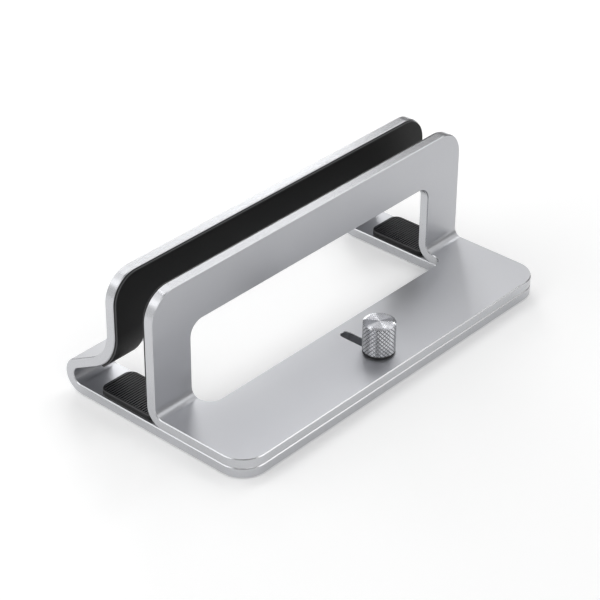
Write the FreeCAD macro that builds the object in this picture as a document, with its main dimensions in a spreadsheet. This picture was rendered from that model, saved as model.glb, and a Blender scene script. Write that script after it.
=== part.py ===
import FreeCAD, Part
import math
import os
import Sketcher

# Adjustable vertical laptop stand, millimetres.
# Two brackets folded from aluminium sheet hold the laptop between padded walls.
# The front one slides on the rear one and is clamped by a knurled knob.
# Brackets are drawn with x = 0 at mid length, y = 0 at the front edge of the
# plates and z = 0 at the underside of the base plate. The finished stand has
# its origin at the middle of its footprint, on the surface it stands on.

doc = FreeCAD.newDocument("laptop_stand")
sheet = doc.addObject("Spreadsheet::Sheet", "Sizes")

SIZES = [
    ("length", 180, "both brackets, left to right"),
    ("depth", 93.8, "front edge to the back of the rear fold"),
    ("sheet_thickness", 4.2, "aluminium sheet of both brackets"),
    ("wall_height", 60, "underside of the base plate to the top of both walls"),
    ("plate_depth", 45.4, "front edge to the front face of the front wall"),
    ("closed_gap", 16, "between the two walls, metal to metal, closed"),
    ("leg_width", 20, "legs at each side of the windows"),
    ("beam_height", 20, "beam above each window"),
    ("window_reach", 9.6, "window of the top plate, in front of the front wall"),
    ("strip_setback", 0.8, "window of the base plate starts this much earlier"),
    ("window_corner", 6, "corner radius of the windows"),
    ("plate_corner", 11, "corner radius of the plates, seen from above"),
    ("wall_corner", 12, "corner radius of the walls, seen from the front"),
    ("front_bend_radius", 3.5, "inner radius of the bend of the front wall"),
    ("fold_radius", 3.5, "inner radius of the hairpin fold"),
    ("flange_angle", 28.5, "slope of the flange above the hairpin fold, degrees"),
    ("wall_bend_radius", 17, "inner radius of the bend of the rear wall"),
    ("edge_chamfer", 0.5, "milled edge all round the sheets"),
    ("slot_web", 4.4, "metal between the slot and the window of the top plate"),
    ("screw_place", 12.5, "front edge to the clamp screw and the guide pins"),
    ("slot_clearance", 0.1, "between the slot or groove and the screw or pin"),
    ("slot_chamfer", 0.3, "edge of the slot on the top face"),
    ("screw_diameter", 4, "clamp screw"),
    ("screw_length", 16, "clamp screw, countersunk head included"),
    ("head_diameter", 8, "countersunk head"),
    ("head_rim", 0.2, "straight rim of the head"),
    ("head_inset", 0.2, "head below the underside of the base plate"),
    ("socket_width", 2.5, "hexagon socket, across the flats"),
    ("socket_depth", 1.6, "hexagon socket"),
    ("screw_end_chamfer", 0.4, "end of the screw"),
    ("thread_fit", 0.05, "screw in the hole of the base plate, at the radius"),
    ("pin_diameter", 4, "guide pins"),
    ("pin_margin", 40, "ends of the plates to the guide pins"),
    ("pin_inset", 0.3, "pin above the underside of the base plate"),
    ("pin_reach", 2, "pin above the base plate"),
    ("pin_chamfer", 0.3, "top edge of the pins"),
    ("pin_fit", 0.02, "pin in the hole of the base plate, at the radius"),
    ("groove_headroom", 0.3, "between the pin and the ceiling of its groove"),
    ("washer_diameter", 13, "nylon ring under the knob"),
    ("washer_thickness", 1, "nylon ring"),
    ("washer_clearance", 0.3, "ring to screw, at the radius"),
    ("washer_chamfer", 0.15, "outer edges of the ring"),
    ("knob_diameter", 13.2, "over the knurl"),
    ("knob_height", 12.9, "from the ring to the top face"),
    ("knob_bevel_width", 1.25, "bevel of the top, at the radius"),
    ("knob_bevel_height", 0.6, "bevel of the top"),
    ("knob_foot_chamfer", 0.25, "lower edge of the knob"),
    ("bore_depth", 8.5, "blind thread of the knob"),
    ("bore_clearance", 0.1, "blind thread to the screw, at the radius"),
    ("knurl_starts", 25, "grooves of each hand round the knob"),
    ("knurl_pitch", 1.8, "height of one diamond"),
    ("knurl_depth", 0.35, "from the points to the crossings of the grooves"),
    ("pad_thickness", 1, "silicone sheet on the walls"),
    ("pad_margin", 0.5, "bare metal outside the wall pads"),
    ("pad_window_margin", 4.5, "bare metal between a window and its wall pad"),
    ("pad_glue", 0.05, "adhesive film of the wall pads"),
    ("pad_chamfer", 0.25, "edge of the wall pads on the laptop's side"),
    ("pad_wrap_angle", 52, "rear pad round the bend of the rear wall, degrees"),
    ("front_pad_foot", 2, "front pad above the end of its bend"),
    ("pad_leg_corner", 2, "lower corners of the wall pads"),
    ("rest_thickness", 2, "ribbed pads that the laptop stands on"),
    ("rest_side_margin", 1.3, "bare metal left and right of a rest pad"),
    ("rest_length", 29.7, "rest pads, front to back"),
    ("rest_clearance", 0.5, "rest pad to the bend of the front wall"),
    ("rest_corner", 4, "corner radius of the rest pads"),
    ("rest_chamfer", 0.3, "top edge of the rest pads"),
    ("rib_pitch", 1.2, "ribs of the rest pads"),
    ("rib_gap", 0.5, "groove between two ribs"),
    ("rib_depth", 0.4, "groove between two ribs"),
    ("rib_border", 0.9, "first groove behind the front edge"),
    ("foot_thickness", 1, "silicone feet"),
    ("foot_recess", 0.5, "recess of the feet in the base plate"),
    ("foot_clearance", 0.1, "foot to the side of its recess"),
    ("foot_width", 8, "feet"),
    ("foot_length", 24, "feet, the front ones left to right, the others front to back"),
    ("front_foot_margin", 6, "ends of the plates to the front feet"),
    ("front_foot_place", 8, "front edge to the middle of the front feet"),
    ("rear_foot_place", 69, "front edge to the middle of the rear feet"),
]
for row, (alias, value, note) in enumerate(SIZES, 1):
    sheet.set(f"A{row}", note)
    sheet.set(f"B{row}", str(value))
    sheet.setAlias(f"B{row}", alias)
doc.recompute()

# Derived places, as expressions of the sheet.
HALF = "(Sizes.length / 2)"
WINDOW_SIDE = f"({HALF} - Sizes.leg_width)"
WINDOW_TOP = "(Sizes.wall_height - Sizes.beam_height)"
PLATE_TOP = "(2 * Sizes.sheet_thickness)"
FRONT_WALL_BACK = "(Sizes.plate_depth + Sizes.sheet_thickness)"
FRONT_BEND_OUTSIDE = "(Sizes.front_bend_radius + Sizes.sheet_thickness)"
FRONT_BEND_TOP = f"({PLATE_TOP} + Sizes.front_bend_radius)"
REAR_WALL = f"({FRONT_WALL_BACK} + Sizes.closed_gap)"
FOLD_Y = "(Sizes.depth - Sizes.sheet_thickness - Sizes.fold_radius)"
FOLD_Z = "(Sizes.sheet_thickness + Sizes.fold_radius)"
BEND_Y = f"({REAR_WALL} + Sizes.sheet_thickness + Sizes.wall_bend_radius)"
# The flange is tangent to the fold and to the bend, which lie on its two sides.
BEND_Z = (
    f"({FOLD_Z} + (Sizes.fold_radius + Sizes.sheet_thickness + Sizes.wall_bend_radius"
    f" - ({BEND_Y} - {FOLD_Y}) * sin(Sizes.flange_angle)) / cos(Sizes.flange_angle))"
)
STAND_HEIGHT = "(Sizes.foot_thickness - Sizes.foot_recess)"
KNOB_SEAT = f"({PLATE_TOP} + Sizes.washer_thickness)"
PAD_SIDE = f"({HALF} - Sizes.pad_margin)"
PAD_TOP = "(Sizes.wall_height - Sizes.pad_margin)"
PAD_CORNER = "(Sizes.wall_corner - Sizes.pad_margin)"
PAD_WINDOW_SIDE = f"({WINDOW_SIDE} + Sizes.pad_window_margin)"
PAD_WINDOW_TOP = f"({WINDOW_TOP} + Sizes.pad_window_margin)"
PAD_WINDOW_CORNER = "(Sizes.window_corner + Sizes.pad_window_margin)"
SCREW_HOLE = "(Sizes.screw_diameter / 2 + Sizes.thread_fit)"
FRONT_STRIP = "(Sizes.plate_depth - Sizes.window_reach)"
BASE_STRIP = f"({FRONT_STRIP} - Sizes.strip_setback)"
OVERRUN = "5"


def size(expression):
    """Number that an expression of the sheet stands for."""
    return float(sheet.evalExpression(expression))


def vector(across, up):
    return FreeCAD.Vector(across, up, 0)


def new_body(label):
    body = doc.addObject("PartDesign::Body", label)
    body.Label = label
    return body


def place(piece, x, y, z):
    """Put a piece drawn at its own origin, or a bracket, in the stand's frame."""
    piece.setExpression("Placement.Base.x", x)
    piece.setExpression("Placement.Base.y", f"{y} - Sizes.depth / 2")
    piece.setExpression("Placement.Base.z", f"{z} + {STAND_HEIGHT}")


def new_sketch(body, name, plane, height="0"):
    """Sketch on an origin plane of the body, raised along the plane's normal."""
    sketch = body.newObject("Sketcher::SketchObject", name)
    origin_plane = [o for o in body.Origin.OriginFeatures if o.Role == plane][0]
    sketch.AttachmentSupport = [(origin_plane, "")]
    sketch.MapMode = "FlatFace"
    if height != "0":
        sketch.setExpression("AttachmentOffset.Base.z", height)
    return sketch


def bind(sketch, constraint, expression):
    index = sketch.addConstraint(constraint)
    sketch.setExpression(f"Constraints[{index}]", expression)


def locate(sketch, kind, geometry, point, expression):
    """Hold a point at a distance from the sketch's origin along one axis."""
    value = size(expression)
    if expression == "0":
        axis = -2 if kind == "DistanceX" else -1
        sketch.addConstraint(Sketcher.Constraint("PointOnObject", geometry, point, axis))
    elif value < 0:
        constraint = Sketcher.Constraint(kind, geometry, point, -1, 1, -value)
        bind(sketch, constraint, f"-({expression})")
    else:
        constraint = Sketcher.Constraint(kind, -1, 1, geometry, point, value)
        bind(sketch, constraint, expression)


def add_arc(sketch, centre, radius, start, end):
    """Arc from the angle start to the angle end, counter-clockwise, in degrees."""
    circle = Part.Circle(centre, FreeCAD.Vector(0, 0, 1), radius)
    arc = Part.ArcOfCircle(circle, math.radians(start), math.radians(end))
    return sketch.addGeometry(arc)


def outline(sketch, corners):
    """Closed outline of level and upright lines.

    Each corner is (across, up, radius), three expressions. A radius of "0" is a
    sharp corner.
    """
    places = [vector(size(across), size(up)) for across, up, radius in corners]
    radii = [size(radius) for across, up, radius in corners]
    count = len(corners)
    ways = [(places[(i + 1) % count] - places[i]).normalize() for i in range(count)]
    lines = []
    for i, way in enumerate(ways):
        after = (i + 1) % count
        start = places[i] + way * radii[i]
        end = places[after] - way * radii[after]
        line = sketch.addGeometry(Part.LineSegment(start, end))
        lines.append(line)
        if abs(way.x) > abs(way.y):
            sketch.addConstraint(Sketcher.Constraint("Horizontal", line))
            locate(sketch, "DistanceY", line, 1, corners[i][1])
        else:
            sketch.addConstraint(Sketcher.Constraint("Vertical", line))
            locate(sketch, "DistanceX", line, 1, corners[i][0])
    for i, (across, up, radius) in enumerate(corners):
        before = lines[i - 1]
        line = lines[i]
        if radius == "0":
            sketch.addConstraint(Sketcher.Constraint("Coincident", before, 2, line, 1))
            continue
        way_in = ways[i - 1]
        way_out = ways[i]
        centre = places[i] + (way_out - way_in) * radii[i]
        left_turn = way_in.x * way_out.y - way_in.y * way_out.x > 0
        first = way_out * -1 if left_turn else way_in
        start = math.degrees(math.atan2(first.y, first.x))
        arc = add_arc(sketch, centre, radii[i], start, start + 90)
        arc_in, arc_out = (1, 2) if left_turn else (2, 1)
        sketch.addConstraint(Sketcher.Constraint("Tangent", before, 2, arc, arc_in))
        sketch.addConstraint(Sketcher.Constraint("Tangent", arc, arc_out, line, 1))
        bind(sketch, Sketcher.Constraint("Radius", arc, radii[i]), radius)


def polygon(sketch, corners):
    """Closed outline of straight lines through corners (across, up)."""
    places = [vector(size(across), size(up)) for across, up in corners]
    count = len(corners)
    lines = []
    for i in range(count):
        segment = Part.LineSegment(places[i], places[(i + 1) % count])
        lines.append(sketch.addGeometry(segment))
    for i, (across, up) in enumerate(corners):
        sketch.addConstraint(Sketcher.Constraint("Coincident", lines[i - 1], 2, lines[i], 1))
        locate(sketch, "DistanceX", lines[i], 1, across)
        locate(sketch, "DistanceY", lines[i], 1, up)


def circle(sketch, across, up, radius):
    centre = vector(size(across), size(up))
    ring = sketch.addGeometry(Part.Circle(centre, FreeCAD.Vector(0, 0, 1), size(radius)))
    locate(sketch, "DistanceX", ring, 3, across)
    locate(sketch, "DistanceY", ring, 3, up)
    bind(sketch, Sketcher.Constraint("Radius", ring, size(radius)), radius)


def obround(sketch, first, last, radius):
    """Slot between two end centres (across, up), either level or upright."""
    level = first[1] == last[1]
    centres = [vector(size(across), size(up)) for across, up in (first, last)]
    r = size(radius)
    way = (centres[1] - centres[0]).normalize()
    side = vector(-way.y, way.x) * r
    turn = math.degrees(math.atan2(way.y, way.x))
    first_arc = add_arc(sketch, centres[0], r, turn + 90, turn + 270)
    last_arc = add_arc(sketch, centres[1], r, turn - 90, turn + 90)
    one = sketch.addGeometry(Part.LineSegment(centres[0] - side, centres[1] - side))
    other = sketch.addGeometry(Part.LineSegment(centres[1] + side, centres[0] + side))
    sketch.addConstraint(Sketcher.Constraint("Tangent", first_arc, 2, one, 1))
    sketch.addConstraint(Sketcher.Constraint("Tangent", one, 2, last_arc, 1))
    sketch.addConstraint(Sketcher.Constraint("Tangent", last_arc, 2, other, 1))
    sketch.addConstraint(Sketcher.Constraint("Tangent", other, 2, first_arc, 1))
    sketch.addConstraint(Sketcher.Constraint("Horizontal" if level else "Vertical", one))
    locate(sketch, "DistanceX", first_arc, 3, first[0])
    locate(sketch, "DistanceY", first_arc, 3, first[1])
    if level:
        locate(sketch, "DistanceX", last_arc, 3, last[0])
    else:
        locate(sketch, "DistanceY", last_arc, 3, last[1])
    bind(sketch, Sketcher.Constraint("Radius", first_arc, r), radius)


def pad(body, name, sketch, thickness, both_ways=False):
    feature = body.newObject("PartDesign::Pad", name)
    feature.Profile = sketch
    feature.setExpression("Length", thickness)
    if both_ways:
        feature.SideType = "Symmetric"
    doc.recompute()
    return feature


def pocket(body, name, sketch, depth, reverse=False):
    """Cut away from the sketch's normal, or along it when reversed."""
    before = body.Shape.Volume
    feature = body.newObject("PartDesign::Pocket", name)
    feature.Profile = sketch
    feature.setExpression("Length", depth)
    feature.Reversed = reverse
    doc.recompute()
    if not body.Shape.Volume < before:
        raise ValueError(f"{name} of {body.Label} cuts nothing")
    return feature


def revolve(body, name, sketch):
    feature = body.newObject("PartDesign::Revolution", name)
    feature.Profile = sketch
    feature.ReferenceAxis = (sketch, ["V_Axis"])
    feature.Angle = 360
    doc.recompute()
    return feature


def straight_edges(shape, direction, test):
    """Names of the straight edges along a direction whose middle passes the test."""
    names = []
    for number, edge in enumerate(shape.Edges, 1):
        if not isinstance(edge.Curve, Part.Line):
            continue
        middle = edge.valueAt((edge.FirstParameter + edge.LastParameter) / 2)
        if abs(edge.Curve.Direction.dot(direction)) > 0.999 and test(middle):
            names.append(f"Edge{number}")
    return names


def sharp_edges(shape, test=lambda middle: True):
    """Names of the edges where two faces meet at about a right angle."""
    names = []
    for number, edge in enumerate(shape.Edges, 1):
        faces = shape.ancestorsOfType(edge, Part.Face)
        if len(faces) != 2:
            continue
        middle = edge.valueAt((edge.FirstParameter + edge.LastParameter) / 2)
        normals = [face.normalAt(*face.Surface.parameter(middle)) for face in faces]
        if abs(normals[0].dot(normals[1])) < 0.5 and test(middle):
            names.append(f"Edge{number}")
    return names


def dress(body, kind, name, edges, expression):
    """Fillet or chamfer the named edges of the body's last feature."""
    before = body.Tip
    feature = body.newObject(f"PartDesign::{kind}", name)
    feature.Base = (before, edges)
    feature.setExpression("Radius" if kind == "Fillet" else "Size", expression)
    doc.recompute()
    return feature


Y_WAY = FreeCAD.Vector(0, 1, 0)
Z_WAY = FreeCAD.Vector(0, 0, 1)


def round_bracket(body):
    """Rounded corners of the plate and of the wall, then the milled edge."""
    side = size(HALF) - 0.01
    top = size("Sizes.wall_height") - 0.01
    edges = straight_edges(body.Shape, Z_WAY, lambda p: p.y < 0.01 and abs(p.x) > side)
    dress(body, "Fillet", "plate_corners", edges, "Sizes.plate_corner")
    edges = straight_edges(body.Shape, Y_WAY, lambda p: p.z > top and abs(p.x) > side)
    dress(body, "Fillet", "wall_corners", edges, "Sizes.wall_corner")
    dress(body, "Chamfer", "milled_edge", sharp_edges(body.Shape), "Sizes.edge_chamfer")


def draw_fold(sketch):
    """Side view of the base bracket: plate, hairpin, flange, bend and rear wall."""
    slope = size("Sizes.flange_angle")
    across_flange = vector(math.sin(math.radians(slope)), math.cos(math.radians(slope)))
    fold = vector(size(FOLD_Y), size(FOLD_Z))
    bend = vector(size(BEND_Y), size(BEND_Z))
    thickness = size("Sizes.sheet_thickness")
    height = size("Sizes.wall_height")
    wall = size(REAR_WALL)
    fold_inner = size("Sizes.fold_radius")
    fold_outer = fold_inner + thickness
    bend_inner = size("Sizes.wall_bend_radius")
    bend_outer = bend_inner + thickness
    flange_end = 90 - slope
    bend_end = 270 - slope

    def line(start, end):
        return sketch.addGeometry(Part.LineSegment(start, end))

    underside = line(vector(0, 0), vector(fold.x, 0))
    fold_outside = add_arc(sketch, fold, fold_outer, -90, flange_end)
    flange_top = line(fold + across_flange * fold_outer, bend - across_flange * bend_inner)
    bend_back = add_arc(sketch, bend, bend_inner, 180, bend_end)
    wall_back = line(vector(wall + thickness, bend.y), vector(wall + thickness, height))
    wall_top = line(vector(wall + thickness, height), vector(wall, height))
    wall_front = line(vector(wall, height), vector(wall, bend.y))
    bend_front = add_arc(sketch, bend, bend_outer, 180, bend_end)
    flange_under = line(bend - across_flange * bend_outer, fold + across_flange * fold_inner)
    fold_inside = add_arc(sketch, fold, fold_inner, -90, flange_end)
    plate_top = line(vector(fold.x, thickness), vector(0, thickness))
    front_end = line(vector(0, thickness), vector(0, 0))

    for level in (underside, wall_top, plate_top):
        sketch.addConstraint(Sketcher.Constraint("Horizontal", level))
    for upright in (wall_back, wall_front, front_end):
        sketch.addConstraint(Sketcher.Constraint("Vertical", upright))
    joints = [
        ("Tangent", underside, 2, fold_outside, 1),
        ("Tangent", fold_outside, 2, flange_top, 1),
        ("Tangent", flange_top, 2, bend_back, 2),
        ("Tangent", bend_back, 1, wall_back, 1),
        ("Coincident", wall_back, 2, wall_top, 1),
        ("Coincident", wall_top, 2, wall_front, 1),
        ("Tangent", wall_front, 2, bend_front, 1),
        ("Tangent", bend_front, 2, flange_under, 1),
        ("Tangent", flange_under, 2, fold_inside, 2),
        ("Tangent", fold_inside, 1, plate_top, 1),
        ("Coincident", plate_top, 2, front_end, 1),
        ("Coincident", front_end, 2, underside, 1),
        ("Coincident", fold_outside, 3, fold_inside, 3),
        ("Coincident", bend_back, 3, bend_front, 3),
        ("Coincident", underside, 1, -1, 1),
    ]
    for kind, first, first_point, second, second_point in joints:
        sketch.addConstraint(
            Sketcher.Constraint(kind, first, first_point, second, second_point)
        )
    locate(sketch, "DistanceX", fold_outside, 3, FOLD_Y)
    locate(sketch, "DistanceX", wall_back, 1, f"{REAR_WALL} + Sizes.sheet_thickness")
    locate(sketch, "DistanceX", wall_front, 1, REAR_WALL)
    locate(sketch, "DistanceY", wall_top, 1, "Sizes.wall_height")
    radius = Sketcher.Constraint("Radius", fold_inside, fold_inner)
    bind(sketch, radius, "Sizes.fold_radius")
    radius = Sketcher.Constraint("Radius", fold_outside, fold_outer)
    bind(sketch, radius, "Sizes.fold_radius + Sizes.sheet_thickness")
    radius = Sketcher.Constraint("Radius", bend_back, bend_inner)
    bind(sketch, radius, "Sizes.wall_bend_radius")
    angle = Sketcher.Constraint("Angle", flange_top, math.radians(180 - slope))
    bind(sketch, angle, "180 - Sizes.flange_angle")


# Base bracket: one sheet, folded back on itself behind the laptop and bent up
# again into the rear wall. One window runs from the plate up to the beam.
base = new_body("base_bracket")
sketch = new_sketch(base, "fold_profile", "YZ_Plane")
draw_fold(sketch)
pad(base, "folded_sheet", sketch, "Sizes.length", both_ways=True)

sketch = new_sketch(base, "plate_window", "XY_Plane", f"{FOLD_Z}")
outline(sketch, [
    (f"-{WINDOW_SIDE}", BASE_STRIP, "Sizes.window_corner"),
    (WINDOW_SIDE, BASE_STRIP, "Sizes.window_corner"),
    (WINDOW_SIDE, REAR_WALL, "0"),
    (f"-{WINDOW_SIDE}", REAR_WALL, "0"),
])
pocket(base, "plate_window_cut", sketch, f"{FOLD_Z} + {OVERRUN}")

sketch = new_sketch(base, "wall_window", "XZ_Plane", f"-{FRONT_WALL_BACK}")
outline(sketch, [
    (f"-{WINDOW_SIDE}", f"-{OVERRUN}", "0"),
    (WINDOW_SIDE, f"-{OVERRUN}", "0"),
    (WINDOW_SIDE, WINDOW_TOP, "Sizes.window_corner"),
    (f"-{WINDOW_SIDE}", WINDOW_TOP, "Sizes.window_corner"),
])
pocket(base, "wall_window_cut", sketch, "Sizes.depth")
round_bracket(base)

# Countersunk hole of the clamp screw and holes of the guide pins.
PIN_PLACE = f"({HALF} - Sizes.pin_margin)"
PIN_HOLE = "(Sizes.pin_diameter / 2 + Sizes.pin_fit)"
sketch = new_sketch(base, "screw_and_pin_holes", "XY_Plane", "Sizes.sheet_thickness")
circle(sketch, "0", "Sizes.screw_place", SCREW_HOLE)
circle(sketch, f"-{PIN_PLACE}", "Sizes.screw_place", PIN_HOLE)
circle(sketch, PIN_PLACE, "Sizes.screw_place", PIN_HOLE)
pocket(base, "screw_and_pin_hole_cut", sketch, f"Sizes.sheet_thickness + {OVERRUN}")
rim = [
    f"Edge{number}"
    for number, edge in enumerate(base.Shape.Edges, 1)
    if isinstance(edge.Curve, Part.Circle)
    and abs(edge.Curve.Radius - size(SCREW_HOLE)) < 1e-6
    and abs(edge.Curve.Center.x) < 0.01
    and abs(edge.Curve.Center.z) < 0.01
]
COUNTERSINK = (
    f"Sizes.head_diameter / 2 - {SCREW_HOLE}"
    " + Sizes.head_inset + Sizes.head_rim + 2 * Sizes.thread_fit"
)
dress(base, "Chamfer", "countersink", rim, COUNTERSINK)

# Shallow recesses of the four feet.
RECESS = "(Sizes.foot_width / 2 + Sizes.foot_clearance)"
SIDE_MIDDLE = f"({HALF} - Sizes.leg_width / 2)"
FOOT_HALF = "((Sizes.foot_length - Sizes.foot_width) / 2)"
FRONT_FOOT = f"({HALF} - Sizes.front_foot_margin - Sizes.foot_length / 2)"
sketch = new_sketch(base, "foot_recesses", "XY_Plane")
for side in ("-", ""):
    front_first = (f"({side}{FRONT_FOOT} - {FOOT_HALF})", "Sizes.front_foot_place")
    front_last = (f"({side}{FRONT_FOOT} + {FOOT_HALF})", "Sizes.front_foot_place")
    obround(sketch, front_first, front_last, RECESS)
    middle = f"{side}{SIDE_MIDDLE}"
    rear_first = (middle, f"(Sizes.rear_foot_place - {FOOT_HALF})")
    rear_last = (middle, f"(Sizes.rear_foot_place + {FOOT_HALF})")
    obround(sketch, rear_first, rear_last, RECESS)
pocket(base, "foot_recess_cut", sketch, "Sizes.foot_recess", reverse=True)
place(base, "0", "0", "0")

# Sliding bracket: top plate and front wall in one bent sheet. Its window runs
# through the bend, and the slot lets it move past the clamp screw.
slider = new_body("sliding_bracket")
sketch = new_sketch(slider, "bend_profile", "YZ_Plane")
outline(sketch, [
    ("0", "Sizes.sheet_thickness", "0"),
    (FRONT_WALL_BACK, "Sizes.sheet_thickness", FRONT_BEND_OUTSIDE),
    (FRONT_WALL_BACK, "Sizes.wall_height", "0"),
    ("Sizes.plate_depth", "Sizes.wall_height", "0"),
    ("Sizes.plate_depth", PLATE_TOP, "Sizes.front_bend_radius"),
    ("0", PLATE_TOP, "0"),
])
pad(slider, "bent_sheet", sketch, "Sizes.length", both_ways=True)

sketch = new_sketch(slider, "plate_window", "XY_Plane", FRONT_BEND_TOP)
outline(sketch, [
    (f"-{WINDOW_SIDE}", FRONT_STRIP, "Sizes.window_corner"),
    (WINDOW_SIDE, FRONT_STRIP, "Sizes.window_corner"),
    (WINDOW_SIDE, f"{FRONT_WALL_BACK} + {OVERRUN}", "0"),
    (f"-{WINDOW_SIDE}", f"{FRONT_WALL_BACK} + {OVERRUN}", "0"),
])
pocket(slider, "plate_window_cut", sketch, FRONT_BEND_TOP)

sketch = new_sketch(slider, "wall_window", "XZ_Plane")
outline(sketch, [
    (f"-{WINDOW_SIDE}", FRONT_BEND_TOP, "0"),
    (WINDOW_SIDE, FRONT_BEND_TOP, "0"),
    (WINDOW_SIDE, WINDOW_TOP, "Sizes.window_corner"),
    (f"-{WINDOW_SIDE}", WINDOW_TOP, "Sizes.window_corner"),
])
pocket(slider, "wall_window_cut", sketch, f"{FRONT_WALL_BACK} + {OVERRUN}")
round_bracket(slider)

# Slot of the clamp screw, broken on its top edge, and blind grooves of the pins.
SLOT_RADIUS = "(Sizes.screw_diameter / 2 + Sizes.slot_clearance)"
GROOVE_RADIUS = "(Sizes.pin_diameter / 2 + Sizes.slot_clearance)"
SLOT_END = f"({FRONT_STRIP} - Sizes.slot_web - {SLOT_RADIUS})"
sketch = new_sketch(slider, "screw_slot", "XY_Plane", PLATE_TOP)
obround(sketch, ("0", "Sizes.screw_place"), ("0", SLOT_END), SLOT_RADIUS)
pocket(slider, "screw_slot_cut", sketch, PLATE_TOP)
slot_half = size(SLOT_RADIUS) + 0.01
plate_top = size(PLATE_TOP)
edges = sharp_edges(
    slider.Shape,
    lambda p: abs(p.x) < slot_half and p.y < size(BASE_STRIP) and abs(p.z - plate_top) < 0.01,
)
dress(slider, "Chamfer", "slot_edge", edges, "Sizes.slot_chamfer")

sketch = new_sketch(slider, "pin_grooves", "XY_Plane", "Sizes.sheet_thickness")
for middle in (f"-{PIN_PLACE}", PIN_PLACE):
    obround(sketch, (middle, "Sizes.screw_place"), (middle, SLOT_END), GROOVE_RADIUS)
pocket(
    slider, "pin_groove_cut", sketch, "Sizes.pin_reach + Sizes.groove_headroom", reverse=True
)
place(slider, "0", "0", "0")

# Rear wall pad: silicone sheet glued to the rear wall and round its bend, with
# a window a little larger than the metal one.
rear_pad = new_body("rear_wall_pad")
sketch = new_sketch(rear_pad, "pad_profile", "YZ_Plane")
PAD_BACK = f"({REAR_WALL} - Sizes.pad_glue)"
PAD_FRONT = f"({PAD_BACK} - Sizes.pad_thickness)"
WRAP_INNER = "(Sizes.wall_bend_radius + Sizes.sheet_thickness + Sizes.pad_glue)"
WRAP_OUTER = f"({WRAP_INNER} + Sizes.pad_thickness)"
bend = vector(size(BEND_Y), size(BEND_Z))
wrap_end = 180 + size("Sizes.pad_wrap_angle")
end_way = vector(math.cos(math.radians(wrap_end)), math.sin(math.radians(wrap_end)))
back_low = vector(size(PAD_BACK), bend.y)
back_high = vector(size(PAD_BACK), size(PAD_TOP))
front_high = vector(size(PAD_FRONT), size(PAD_TOP))
front_low = vector(size(PAD_FRONT), bend.y)
pad_back = sketch.addGeometry(Part.LineSegment(back_low, back_high))
pad_top = sketch.addGeometry(Part.LineSegment(back_high, front_high))
pad_front = sketch.addGeometry(Part.LineSegment(front_high, front_low))
wrap_front = add_arc(sketch, bend, size(WRAP_OUTER), 180, wrap_end)
wrap_foot = sketch.addGeometry(
    Part.LineSegment(bend + end_way * size(WRAP_OUTER), bend + end_way * size(WRAP_INNER))
)
wrap_back = add_arc(sketch, bend, size(WRAP_INNER), 180, wrap_end)
for kind, first, first_point, second, second_point in [
    ("Coincident", pad_back, 2, pad_top, 1),
    ("Coincident", pad_top, 2, pad_front, 1),
    ("Tangent", pad_front, 2, wrap_front, 1),
    ("Coincident", wrap_front, 2, wrap_foot, 1),
    ("Coincident", wrap_foot, 2, wrap_back, 2),
    ("Tangent", wrap_back, 1, pad_back, 1),
    ("Coincident", wrap_front, 3, wrap_back, 3),
]:
    sketch.addConstraint(Sketcher.Constraint(kind, first, first_point, second, second_point))
sketch.addConstraint(Sketcher.Constraint("Vertical", pad_back))
sketch.addConstraint(Sketcher.Constraint("Horizontal", pad_top))
sketch.addConstraint(Sketcher.Constraint("Vertical", pad_front))
locate(sketch, "DistanceX", wrap_front, 3, BEND_Y)
locate(sketch, "DistanceY", wrap_front, 3, BEND_Z)
locate(sketch, "DistanceX", pad_back, 1, PAD_BACK)
locate(sketch, "DistanceX", pad_front, 1, PAD_FRONT)
locate(sketch, "DistanceY", pad_top, 1, PAD_TOP)
angle = Sketcher.Constraint("Angle", wrap_foot, math.radians(wrap_end - 180))
bind(sketch, angle, "Sizes.pad_wrap_angle")
sketch.addConstraint(Sketcher.Constraint("PointOnObject", wrap_front, 3, wrap_foot))
pad(rear_pad, "silicone_sheet", sketch, f"2 * {PAD_SIDE}", both_ways=True)


def finish_wall_pad(body, on_front):
    """Window between the legs of a wall pad, its top corners and its front edge."""
    sketch = new_sketch(body, "pad_window", "XZ_Plane")
    outline(sketch, [
        (f"-{PAD_WINDOW_SIDE}", "0", "0"),
        (PAD_WINDOW_SIDE, "0", "0"),
        (PAD_WINDOW_SIDE, PAD_WINDOW_TOP, PAD_WINDOW_CORNER),
        (f"-{PAD_WINDOW_SIDE}", PAD_WINDOW_TOP, PAD_WINDOW_CORNER),
    ])
    pocket(body, "pad_window_cut", sketch, "Sizes.depth")
    top = size(PAD_TOP) - 0.01
    edges = straight_edges(body.Shape, Y_WAY, lambda p: p.z > top)
    dress(body, "Fillet", "pad_corners", edges, PAD_CORNER)
    edges = sharp_edges(body.Shape, on_front)
    dress(body, "Chamfer", "front_edge", edges, "Sizes.pad_chamfer")


def on_rear_pad_front(point):
    """Whether a point lies on the side of the rear pad that meets the laptop."""
    if point.z > bend.y:
        return point.y < size(PAD_FRONT) + 0.01
    return math.hypot(point.y - bend.x, point.z - bend.y) > size(WRAP_OUTER) - 0.01


finish_wall_pad(rear_pad, on_rear_pad_front)
place(rear_pad, "0", "0", "0")

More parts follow.
